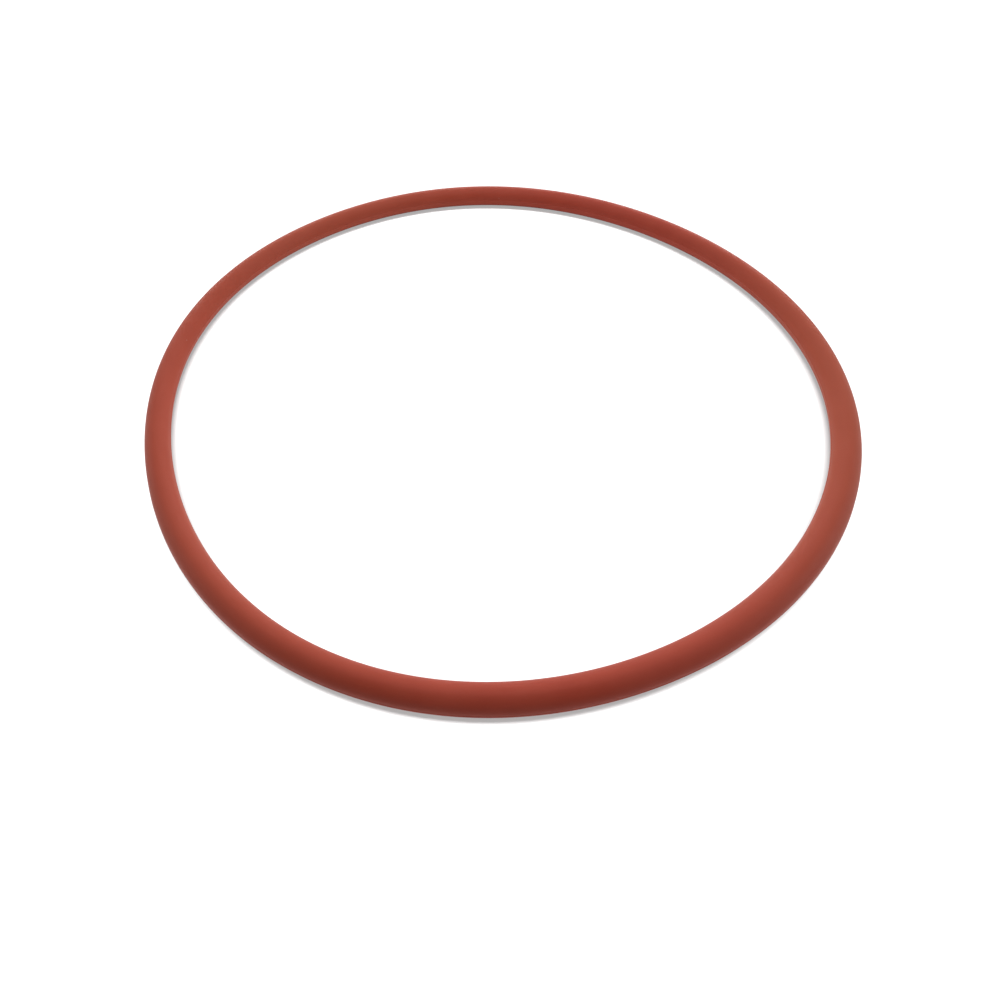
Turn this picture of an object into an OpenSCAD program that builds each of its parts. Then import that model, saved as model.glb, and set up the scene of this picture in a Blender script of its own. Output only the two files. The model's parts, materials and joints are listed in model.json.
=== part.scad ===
// Silicone O-ring: one moulded ring of round section, lying flat.
// The origin is the centre of the ring, in the plane of its parting line, with +Z along its axis.
// Lengths are in millimetres.

/* [Ring] */
// Inside diameter of the free ring, measured over the round section
inside_d = 94.84; // [40:0.01:200]
// Diameter of the round section
section_d = 3.53; // [1.5:0.01:9]

/* [Parting line] */
// Height that the trimmed line keeps above the round section, at the bore and at the rim
line_h = 0.05; // [0.02:0.01:0.08]
// Radius worn on the edges of the two mould halves, which leaves the flanks of the line concave
edge_r = 0.2; // [0.1:0.05:0.4]

/* [Hidden] */
silicone_red = [0.65, 0.31, 0.25];
section_r = section_d / 2;
// Radius of the circle that the centre of the section runs on
ring_r = (inside_d + section_d) / 2;
// Depth that each worn edge is let into the section, so that the two arcs cross and don't just touch
edge_bite = 0.005;
// Distance from the centre of the section to the centre of a worn edge, and its part along the line
edge_reach = section_r + edge_r - edge_bite;
edge_x = sqrt(edge_reach ^ 2 - edge_r ^ 2);
// Place on the round section where a worn edge bites deepest
foot_x = edge_x * section_r / edge_reach;
foot_z = edge_r * section_r / edge_reach;
revolve_fn = 240;
section_fn = 96;

// One line of the parting plane, on the +X side of the section: the rubber left between the worn
// edges of the two mould halves, trimmed to its height
module parting_line() {
    difference() {
        translate([foot_x / 2, -foot_z])
            square([section_r + line_h - foot_x / 2, 2 * foot_z]);
        for (half = [-1, 1])
            translate([edge_x, half * edge_r])
                circle(r = edge_r, $fn = section_fn);
    }
}

// The moulded section: a round with the parting line at the bore side and at the rim side
module section() {
    circle(d = section_d, $fn = section_fn);
    parting_line();
    mirror([1, 0])
        parting_line();
}

module o_ring() {
    color(silicone_red)
        rotate_extrude($fn = revolve_fn)
            translate([ring_r, 0])
                section();
}

o_ring();
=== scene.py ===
# %% [markdown]
# # A red silicone O-ring on a white table
# The object is one soft ring of round section, moulded in one piece. In this lesson it is built as
# a fine mesh around the fixed model of the part, and then it gets its skin, its table, its light
# and its camera. Every size is in metres, and the ring lies flat with its axis along Z.

# %% Load the frame and measure it
import json
import math

import bpy
import numpy as np
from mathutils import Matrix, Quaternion, Vector


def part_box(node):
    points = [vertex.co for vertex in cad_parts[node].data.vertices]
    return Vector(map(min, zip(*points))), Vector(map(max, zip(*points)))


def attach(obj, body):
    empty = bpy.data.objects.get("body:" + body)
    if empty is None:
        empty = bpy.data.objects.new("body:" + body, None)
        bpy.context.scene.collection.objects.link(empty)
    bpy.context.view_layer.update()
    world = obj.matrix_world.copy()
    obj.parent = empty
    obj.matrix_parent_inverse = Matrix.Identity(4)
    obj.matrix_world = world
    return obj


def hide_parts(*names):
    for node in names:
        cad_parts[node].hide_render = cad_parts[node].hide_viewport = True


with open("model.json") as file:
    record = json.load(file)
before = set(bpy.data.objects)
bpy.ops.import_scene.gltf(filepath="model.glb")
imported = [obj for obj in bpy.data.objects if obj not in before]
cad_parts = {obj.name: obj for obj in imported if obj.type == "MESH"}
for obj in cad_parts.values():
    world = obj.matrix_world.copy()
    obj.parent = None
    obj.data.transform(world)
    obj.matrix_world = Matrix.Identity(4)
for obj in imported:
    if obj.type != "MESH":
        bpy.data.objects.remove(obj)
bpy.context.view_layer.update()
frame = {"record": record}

# %% [markdown]
# The ring is known by three sizes: the circle that its section runs on, the section itself, and
# the height of the parting line, which is the thin ridge that two mould halves leave at the bore
# and at the rim. They could be typed in again, but a copied size goes stale. The record gives the
# radius of both ridges and the box gives the height of the section, so all three come from there.

# %% Read the ring's own sizes from the frame
MM = 0.001

ridge_r = {m["name"]: m["dims"]["r_mm"] * MM for m in frame["record"]["mounts"]}
ring_low, ring_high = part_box("o_ring")
ring_r = (ridge_r["bore"] + ridge_r["rim"]) / 2
section_r = (ring_high.z - ring_low.z) / 2
line_h = ridge_r["rim"] - ring_r - section_r
table_z = ring_low.z
print(f"ring {ring_r / MM:.3f} mm, section {section_r / MM:.3f} mm, line {line_h / MM:.3f} mm")

# %% [markdown]
# A camera close to a ring makes its near side much thicker than its far side, and that is half of
# the likeness here. So the camera is set first: a wide 24 mm lens, a hand's breadth from the ring
# and 44 degrees above it. Its numbers were fitted to both outlines of the ring in the picture. The
# frame is a crop of a wider one, which is what the small lens shift stands for, because turning the
# camera instead would change how the sides taper.

# %% Set up the camera
camera_at = Vector((0.0, -73.40, 70.47)) * MM
aim_at = Vector((-8.14, -15.03, 0.0)) * MM
camera_roll = math.radians(-4.08)

camera_data = bpy.data.cameras.new("camera")
camera_data.sensor_width = 36.0
camera_data.lens = 24.0
camera_data.shift_x = 0.0760
camera_data.shift_y = -0.0564
camera_data.clip_start = 1 * MM
camera_data.clip_end = 10.0
camera = bpy.data.objects.new("camera", camera_data)
bpy.context.scene.collection.objects.link(camera)
camera.location = camera_at
camera.rotation_mode = "QUATERNION"
level_look = (aim_at - camera_at).to_track_quat("-Z", "Y")
camera.rotation_quaternion = level_look @ Quaternion((0, 0, 1), camera_roll)
bpy.context.scene.camera = camera
camera_rise = math.degrees(math.atan2(camera_at.z, -camera_at.y))
print(f"the camera stands {camera_at.length / MM:.0f} mm off, {camera_rise:.0f} degrees up")

# %% [markdown]
# A soft ring never lies as a perfect circle: it keeps a little of the shape that it was stored in.
# The lay is written as three slow waves in its radius, with three, four and five lobes, none of
# them over 0.4 mm. Their swings and places were fitted to the outlines in the picture, too. Pushing
# points about by hand would dent the section, so each place on the ring's centre line is moved
# first, and the section is then set square to that line.

# %% Lay the centre line
STATIONS = 640
LAY = (
    (3, 0.392 * MM, math.radians(4.7)),
    (4, 0.212 * MM, math.radians(-12.5)),
    (5, 0.082 * MM, math.radians(24.3)),
)

turn = np.arange(STATIONS) * 2 * np.pi / STATIONS
laid_r = np.full(STATIONS, ring_r)
laid_slope = np.zeros(STATIONS)
for lobes, swing, first_lobe in LAY:
    laid_r += swing * np.cos(lobes * (turn - first_lobe))
    laid_slope -= lobes * swing * np.sin(lobes * (turn - first_lobe))

spoke = np.stack([np.cos(turn), np.sin(turn)], axis=1)
tangent = np.stack([-np.sin(turn), np.cos(turn)], axis=1)
along = laid_slope[:, None] * spoke + laid_r[:, None] * tangent
along /= np.linalg.norm(along, axis=1)[:, None]
outward = np.stack([along[:, 1], -along[:, 0]], axis=1)
centre_line = laid_r[:, None] * spoke
print(f"the lay moves the ring by {abs(laid_r - ring_r).max() / MM:.2f} mm at most")

# %% [markdown]
# The section is a round with a ridge on both sides, at the bore and at the rim. A ridge has a flat
# land where its flash was trimmed, and two hollow flanks from the worn edges of the mould halves.
# A torus primitive has no ridge, and a bevelled curve can't give one that changes on its way. So
# a quarter of the outline is made of three parts, land, flank arc and round arc, for all the
# stations at once, and then mirrored.

# %% Draw a quarter of the section
EDGE_R = 0.2 * MM
FLANK_STEPS = 6
ROUND_STEPS = 22
LAND_CORNER = 0.25

flank_x = math.sqrt((section_r + EDGE_R) ** 2 - EDGE_R ** 2)
foot = math.asin(EDGE_R / (section_r + EDGE_R))


def quarter_outline(height):
    """Points from the middle of a ridge's land to the crown, for each station's ridge height."""
    land_x = section_r + height
    land_half = EDGE_R - np.sqrt(EDGE_R ** 2 - (flank_x - land_x) ** 2)
    step = np.arange(FLANK_STEPS + 1) / FLANK_STEPS
    land_end = np.arctan2(EDGE_R - land_half, flank_x - land_x)
    swing = land_end[:, None] * (1 - step) + foot * step
    flank = np.stack([flank_x - EDGE_R * np.cos(swing), EDGE_R - EDGE_R * np.sin(swing)], axis=2)
    middle = np.stack([land_x, 0 * land_x], axis=1)[:, None]
    shoulder = np.stack([land_x, (1 - LAND_CORNER) * land_half], axis=1)[:, None]
    flank[:, 0, 0] -= LAND_CORNER * height
    rise = foot + (math.pi / 2 - foot) * np.arange(1, ROUND_STEPS + 1) / ROUND_STEPS
    arc = section_r * np.stack([np.cos(rise), np.sin(rise)], axis=1)
    arc = np.broadcast_to(arc, (len(height), ROUND_STEPS, 2))
    return np.concatenate([middle, shoulder, flank, arc], axis=1)


print(f"each ridge stands on {2 * math.degrees(foot):.1f} degrees of the section")

# %% [markdown]
# The trimmed line isn't even: the blade leaves a little more here and a little less there. A few
# waves with whole numbers of turns give it a height that closes on itself, and a fixed seed makes
# the same line on each run. The bore and the rim are trimmed one after the other, so each has its
# own waves. The picture can't show a line this fine, so all of it follows such rings in general.

# %% Trim the two parting lines
TRIM_WAVES = range(5, 60)
TRIM_LOSS = 0.45
RIM_SEED = 3
BORE_SEED = 8


def trimmed(seed):
    """Height of a parting line at each station: never over line_h, and up to TRIM_LOSS less."""
    draw = np.random.default_rng(seed)
    wander = np.zeros(STATIONS)
    for waves in TRIM_WAVES:
        swing = draw.normal() / math.sqrt(waves)
        wander += swing * np.cos(waves * turn + draw.uniform(0, 2 * np.pi))
    wander = (wander - wander.min()) / (wander.max() - wander.min())
    return line_h * (1 - TRIM_LOSS * wander)


rim_line = trimmed(RIM_SEED)
bore_line = trimmed(BORE_SEED)
print(f"the rim's line is {rim_line.min() / MM:.3f} to {rim_line.max() / MM:.3f} mm high")

# %% [markdown]
# Now the section travels round the centre line. Four quarters make the whole outline: the rim's
# and the bore's, each over and under. The end points that two quarters share are dropped once, so
# that the skin is closed, with no doubled points. Next to its place on the table, each point also
# keeps the place that it had in the mould, where the ring was a true circle. The skin's grain is
# laid out on that one, as it would be on the real ring.

# %% Sweep the section into one closed skin
rim_quarter = quarter_outline(rim_line)
bore_quarter = quarter_outline(bore_line) * np.array([-1, 1])
over = np.concatenate([rim_quarter, bore_quarter[:, -2::-1]], axis=1)
under = over[:, -2:0:-1] * np.array([1, -1])
outline = np.concatenate([over, under], axis=1)
around = outline.shape[1]


def sweep(line, across):
    """Sets the outline along a line, with its first axis along across."""
    skin = np.empty((STATIONS, around, 3))
    skin[:, :, :2] = line[:, None] + outline[:, :, :1] * across[:, None]
    skin[:, :, 2] = outline[:, :, 1]
    return skin.reshape(-1, 3)


laid = sweep(centre_line, outward)
as_moulded = sweep(ring_r * spoke, spoke)

station, place = np.meshgrid(np.arange(STATIONS), np.arange(around), indexing="ij")
next_station = (station + 1) % STATIONS
next_place = (place + 1) % around
quads = np.stack([
    station * around + place,
    next_station * around + place,
    next_station * around + next_place,
    station * around + next_place,
], axis=2).reshape(-1, 4)

skin_mesh = bpy.data.meshes.new("silicone_ring")
skin_mesh.from_pydata(laid.tolist(), [], quads.tolist())
skin_mesh.polygons.foreach_set("use_smooth", np.ones(len(quads), bool))
moulded_place = skin_mesh.attributes.new("as_moulded", "FLOAT_VECTOR", "POINT")
moulded_place.data.foreach_set("vector", as_moulded.astype(np.float32).ravel())
skin_mesh.validate()
silicone_ring = bpy.data.objects.new("silicone_ring", skin_mesh)
bpy.context.scene.collection.objects.link(silicone_ring)
print(f"{len(laid)} points and {len(quads)} quads, {around} points round the section")

# %% [markdown]
# The ring stands in for the plain solid of the same name and rides on the part's one body.

# %% Put the ring in the solid's place
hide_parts("o_ring")
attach(silicone_ring, "root")
print(f"{silicone_ring.name} stands in for o_ring")

# %% [markdown]
# Silicone coloured with iron oxide is matt and a little milky. Its skin copies the mould: a fine
# even grain, and faint marks that run round the ring, as the mould was turned on a lathe. The
# pigment is not mixed quite evenly, a thin bloom of powder dulls it in patches, and a few specks
# of dust sit on it. The picture is too coarse to show most of that, so the sizes are a guess from
# such rings in general. Each is its own short layer of nodes, and all read the place in the mould.

# %% Start the silicone
silicone = bpy.data.materials.new("red_silicone")
silicone.use_nodes = True
skin_tree = silicone.node_tree
skin = skin_tree.nodes["Principled BSDF"]
mould = skin_tree.nodes.new("ShaderNodeAttribute")
mould.attribute_name = "as_moulded"
in_mould = mould.outputs["Vector"]

skin.inputs["IOR"].default_value = 1.41
skin.inputs["Specular IOR Level"].default_value = 0.15
skin.inputs["Subsurface Weight"].default_value = 0.08
skin.inputs["Subsurface Radius"].default_value = (0.9, 0.25, 0.15)
skin.inputs["Subsurface Scale"].default_value = 0.4 * MM
skin.inputs["Sheen Weight"].default_value = 0.05
skin.inputs["Sheen Roughness"].default_value = 0.45
skin.inputs["Sheen Tint"].default_value = (1.0, 0.86, 0.80, 1.0)
print("the silicone starts with", len(skin_tree.nodes), "nodes")

# %% [markdown]
# A layer is a handful of nodes, and typed out one by one they would hide what the layer does. So
# the kinds of node that come up often get a helper each: arithmetic, a range, a noise that is laid
# out in the mould, the same noise stretched into patches, and a mix of two colours.

# %% Write helpers for the layers
PATCH_LOW = 0.3
PATCH_HIGH = 0.7


def put(tree, value, socket):
    """Puts a number, a colour or the output of another node into a socket."""
    if isinstance(value, bpy.types.NodeSocket):
        tree.links.new(value, socket)
    else:
        socket.default_value = value


def maths(tree, operation, *values):
    """One step of arithmetic, on one to three values."""
    node = tree.nodes.new("ShaderNodeMath")
    node.operation = operation
    for value, socket in zip(values, node.inputs):
        put(tree, value, socket)
    return node.outputs["Value"]


def ranged(tree, value, from_low, from_high, low, high, ease="LINEAR"):
    """Maps a range of a value onto low to high, and holds it there beyond the ends."""
    node = tree.nodes.new("ShaderNodeMapRange")
    node.interpolation_type = ease
    put(tree, value, node.inputs["Value"])
    limits = (("From Min", from_low), ("From Max", from_high), ("To Min", low), ("To Max", high))
    for name, limit in limits:
        put(tree, limit, node.inputs[name])
    return node.outputs["Result"]


def noise(size, detail, place=in_mould):
    """A noise whose features are about size across, laid out in the mould."""
    node = skin_tree.nodes.new("ShaderNodeTexNoise")
    put(skin_tree, place, node.inputs["Vector"])
    node.inputs["Scale"].default_value = 1 / size
    node.inputs["Detail"].default_value = detail
    return node.outputs["Fac"]


def patches(size, detail):
    """The same noise with its middle range stretched, so that it fills 0 to 1."""
    return ranged(skin_tree, noise(size, detail), PATCH_LOW, PATCH_HIGH, 0.0, 1.0)


def blend_colours(amount, first, second):
    """Mixes two colours, by an amount from 0 to 1."""
    node = skin_tree.nodes.new("ShaderNodeMix")
    node.data_type = "RGBA"
    put(skin_tree, amount, node.inputs["Factor"])
    put(skin_tree, first, node.inputs["A"])
    put(skin_tree, second, node.inputs["B"])
    return node.outputs["Result"]


print(f"patches fill 0 to 1 from the noise's {PATCH_LOW} to {PATCH_HIGH}")

# %% [markdown]
# Colour first. Two reds that are close together are mixed by a slow noise, which is the pigment.
# In the picture the red also changes round the ring, between a deep one at the near and far sides
# and a paler, more orange one at the left and most at the right. That change is painted light and
# shade. One more noise, stretched that far, would leave it to chance. So it is written as two waves
# in the angle round the ring, with two and three lobes, which were fitted to the picture and close
# on themselves as the waves of the lay do.

# %% Mix the red
OXIDE_DEEP = (0.352, 0.0465, 0.0257, 1.0)
OXIDE_LIGHT = (0.376, 0.0529, 0.0300, 1.0)
# The paler, more orange red below is painted light, and the deep red where it is left out is
# painted shade.
PAINTED_LIGHT_RED = (0.368, 0.0915, 0.0447, 1.0)
PIGMENT_SIZE = 3.5 * MM
PAINTED_LIGHT_SHARE = 0.235
# Waves of the painted light and shade round the ring: lobes, swing and place of the first lobe.
PAINTED_LIGHT_WAVES = (
    (2, 0.147, math.radians(-12.0)),
    (3, 0.118, math.radians(-3.0)),
)

sides = skin_tree.nodes.new("ShaderNodeSeparateXYZ")
put(skin_tree, in_mould, sides.inputs["Vector"])
x, y, z = sides.outputs
angle = maths(skin_tree, "ARCTAN2", y, x)
pale = PAINTED_LIGHT_SHARE
for lobes, swing, first_lobe in PAINTED_LIGHT_WAVES:
    phase = maths(skin_tree, "MULTIPLY", maths(skin_tree, "SUBTRACT", angle, first_lobe), lobes)
    wave = maths(skin_tree, "MULTIPLY", maths(skin_tree, "COSINE", phase), swing)
    pale = maths(skin_tree, "ADD", pale, wave)

red = blend_colours(patches(PIGMENT_SIZE, detail=4.0), OXIDE_DEEP, OXIDE_LIGHT)
# Painted light and shade: the paler red goes in at the left and right sides, and the near and far
# sides keep the deep red.
red = blend_colours(pale, red, PAINTED_LIGHT_RED)
print("the red drifts in waves of", " and ".join(str(lobes) for lobes, _, _ in PAINTED_LIGHT_WAVES), "lobes")

# %% [markdown]
# A thin bloom of powder lies over the red in wide patches. It is a paler, greyer red, and only a
# little of it is mixed in.

# %% Lay the bloom on it
BLOOM = (0.420, 0.112, 0.086, 1.0)
BLOOM_SIZE = 16 * MM
BLOOM_SHARE = 0.12

bloom = patches(BLOOM_SIZE, detail=3.0)
red = blend_colours(maths(skin_tree, "MULTIPLY", bloom, BLOOM_SHARE), red, BLOOM)
print(f"the bloom hides at most {BLOOM_SHARE:.0%} of the red")

# %% [markdown]
# Red rubber shows every speck of dust. A Voronoi texture scatters points through space, and only
# the few points that happen to lie in the skin are seen, as pale dots a quarter of a millimetre
# wide with a soft edge. A point's own random colour decides how pale its dot is: about a third of
# the points give none, and the others give faint ones.

# %% Let a little dust settle
DUST = (0.62, 0.50, 0.44, 1.0)
DUST_SPACING = 2.6 * MM
SPECK_R = 0.13 * MM
SPECK_CORE = 0.4
BARE_UP_TO = 0.35
DUST_SHARE = 0.45

scatter = skin_tree.nodes.new("ShaderNodeTexVoronoi")
put(skin_tree, in_mould, scatter.inputs["Vector"])
scatter.inputs["Scale"].default_value = 1 / DUST_SPACING
paleness = skin_tree.nodes.new("ShaderNodeSeparateColor")
put(skin_tree, scatter.outputs["Color"], paleness.inputs["Color"])
speck_end = SPECK_R / DUST_SPACING
speck = ranged(skin_tree, scatter.outputs["Distance"],
               SPECK_CORE * speck_end, speck_end, 1.0, 0.0, "SMOOTHSTEP")
share = ranged(skin_tree, paleness.outputs["Red"], BARE_UP_TO, 1.0, 0.0, DUST_SHARE)
red = blend_colours(maths(skin_tree, "MULTIPLY", speck, share), red, DUST)
put(skin_tree, red, skin.inputs["Base Color"])
print(f"specks {2 * SPECK_R / MM:.2f} mm wide, one point to a {DUST_SPACING / MM:.1f} mm cube")

# %% [markdown]
# Then the finish. The bloom makes it rougher, and the fine grain breaks up the gloss.

# %% Dull the silicone
GRAIN_SIZE = 0.14 * MM
CLEAN_ROUGHNESS = 0.47
BLOOM_ROUGHNESS = 0.08
GRAIN_ROUGHNESS = 0.06

grain = patches(GRAIN_SIZE, detail=2.0)
dulled = maths(skin_tree, "MULTIPLY_ADD", bloom, BLOOM_ROUGHNESS, CLEAN_ROUGHNESS)
roughness = maths(skin_tree, "MULTIPLY_ADD", grain, GRAIN_ROUGHNESS, dulled)
put(skin_tree, roughness, skin.inputs["Roughness"])
roughest = CLEAN_ROUGHNESS + BLOOM_ROUGHNESS + GRAIN_ROUGHNESS
print(f"the roughness runs from {CLEAN_ROUGHNESS:.2f} to {roughest:.2f}")

# %% [markdown]
# The relief is two bumps in a row. The marks of the turned mould are a noise that is squeezed
# across the section and drawn out along the ring. The arc round the section, worked out from the
# place in the mould, is its third coordinate, so the marks follow the ring with no seam.

# %% Give the skin its relief
MARK_WIDTH = 0.09 * MM
MARK_LENGTH = 14 * MM
MARK_DEPTH = 0.004 * MM
GRAIN_DEPTH = 0.003 * MM

y_squared = maths(skin_tree, "MULTIPLY", y, y)
from_axis = maths(skin_tree, "SQRT", maths(skin_tree, "MULTIPLY_ADD", x, x, y_squared))
from_line = maths(skin_tree, "SUBTRACT", from_axis, ring_r)
arc_round = maths(skin_tree, "MULTIPLY", maths(skin_tree, "ARCTAN2", z, from_line), section_r)

squeeze = MARK_WIDTH / MARK_LENGTH
drawn_out = skin_tree.nodes.new("ShaderNodeCombineXYZ")
put(skin_tree, maths(skin_tree, "MULTIPLY", x, squeeze), drawn_out.inputs["X"])
put(skin_tree, maths(skin_tree, "MULTIPLY", y, squeeze), drawn_out.inputs["Y"])
put(skin_tree, arc_round, drawn_out.inputs["Z"])
marks = noise(MARK_WIDTH, detail=3.0, place=drawn_out.outputs["Vector"])


def bump(height, depth, under=None):
    """A bump of a given depth in metres, over another one."""
    node = skin_tree.nodes.new("ShaderNodeBump")
    node.inputs["Distance"].default_value = depth
    put(skin_tree, height, node.inputs["Height"])
    if under:
        put(skin_tree, under, node.inputs["Normal"])
    return node.outputs["Normal"]


relief = bump(marks, MARK_DEPTH)
relief = bump(grain, GRAIN_DEPTH, relief)
put(skin_tree, relief, skin.inputs["Normal"])
silicone_ring.data.materials.append(silicone)
print("the silicone has", len(skin_tree.nodes), "nodes")

# %% [markdown]
# The table is plain white, with a neutral grey shadow. A white matt floor would take a pink stain
# from the ring, which is why its matt part is a mid grey here, under a lamp that makes up for it.
# Rays from the camera, and from gloss, see a glow added to that. The glow is weak near the ring,
# so that the ring's shadow stays, and full where there is no shadow to keep.

# %% Set the table
TABLE_HALF = 3.0
TABLE_MATT = (0.35, 0.35, 0.35, 1.0)
SHADOW_GLOW = 0.41
SHADOW_END = 64 * MM
FULL_GLOW_FROM = 1.0

corners = [(-TABLE_HALF, -TABLE_HALF), (TABLE_HALF, -TABLE_HALF)]
corners += [(TABLE_HALF, TABLE_HALF), (-TABLE_HALF, TABLE_HALF)]
table_mesh = bpy.data.meshes.new("table")
table_mesh.from_pydata([(*corner, table_z) for corner in corners], [], [(0, 1, 2, 3)])
table = bpy.data.objects.new("table", table_mesh)
bpy.context.scene.collection.objects.link(table)


def seen_directly(tree):
    """1 for the rays that show a background: from the camera, from gloss and through glass."""
    ray = tree.nodes.new("ShaderNodeLightPath")
    direct = maths(tree, "MAXIMUM", ray.outputs["Is Camera Ray"], ray.outputs["Is Glossy Ray"])
    return maths(tree, "MAXIMUM", direct, ray.outputs["Is Transmission Ray"])


table_white = bpy.data.materials.new("table_white")
table_white.use_nodes = True
table_tree = table_white.node_tree
table_tree.nodes.clear()
matt = table_tree.nodes.new("ShaderNodeBsdfDiffuse")
matt.inputs["Color"].default_value = TABLE_MATT
place = table_tree.nodes.new("ShaderNodeNewGeometry")
away = table_tree.nodes.new("ShaderNodeVectorMath")
away.operation = "LENGTH"
put(table_tree, place.outputs["Position"], away.inputs[0])
level = ranged(table_tree, away.outputs["Value"],
               SHADOW_END, FULL_GLOW_FROM, SHADOW_GLOW, 1.0, "SMOOTHSTEP")
seen_level = maths(table_tree, "MULTIPLY", seen_directly(table_tree), level)
glow = table_tree.nodes.new("ShaderNodeEmission")
put(table_tree, seen_level, glow.inputs["Strength"])
both = table_tree.nodes.new("ShaderNodeAddShader")
put(table_tree, matt.outputs["BSDF"], both.inputs[0])
put(table_tree, glow.outputs["Emission"], both.inputs[1])
table_out = table_tree.nodes.new("ShaderNodeOutputMaterial")
put(table_tree, both.outputs["Shader"], table_out.inputs["Surface"])
table_mesh.materials.append(table_white)
print("the table lies at", round(table_z / MM, 3), "mm")

# %% [markdown]
# The light in the picture comes from above and behind, softly, with weaker light from both sides,
# and it leaves the near side of the ring darker than the rest. So the boxes hang close: a ring that
# is a hand wide is then lit unevenly, as it is there, and their strengths were fitted to that. The
# table has to stay evenly white, with a narrow crisp shadow, and that takes a strip high overhead.
# Light linking keeps the two apart: the close boxes light the ring alone, and the strip lights the
# table alone.

# %% Hang the lights
def soft_box(name, at, size, strength, lit):
    """A rectangular lamp at a place in metres, facing the ring; strength is its radiance."""
    lamp = bpy.data.lights.new(name, "AREA")
    lamp.shape = "RECTANGLE"
    lamp.size, lamp.size_y = size
    lamp.energy = strength * size[0] * size[1] * math.pi
    holder = bpy.data.objects.new(name, lamp)
    holder.location = at
    holder.rotation_euler = (-Vector(at)).to_track_quat("-Z", "Y").to_euler()
    holder.light_linking.receiver_collection = lit
    bpy.context.scene.collection.objects.link(holder)


ring_alone = bpy.data.collections.new("ring_alone")
ring_alone.objects.link(silicone_ring)
table_alone = bpy.data.collections.new("table_alone")
table_alone.objects.link(table)

soft_box("above", (0, 0.04, 0.16), (0.2, 0.1), 2.41, ring_alone)
soft_box("close_behind", (0, 0.16, 0.14), (0.2, 0.1), 1.07, ring_alone)
soft_box("low_behind", (0, 0.45, 0.12), (0.8, 0.12), 3.80, ring_alone)
soft_box("left", (-0.35, 0, 0.2), (0.3, 0.3), 1.86, ring_alone)
soft_box("right", (0.35, 0, 0.2), (0.3, 0.3), 2.41, ring_alone)
soft_box("table_strip", (0, 0.03, 2.0), (1.4, 0.5), 50.7, table_alone)

world = bpy.data.worlds.new("white_room")
world.use_nodes = True
bpy.context.scene.world = world
room = world.node_tree.nodes["Background"]
room.inputs["Color"].default_value = (1, 1, 1, 1)
put(world.node_tree, seen_directly(world.node_tree), room.inputs["Strength"])

bpy.context.scene.view_settings.view_transform = "Standard"
print(len(bpy.data.lights), "lamps hang over the table")
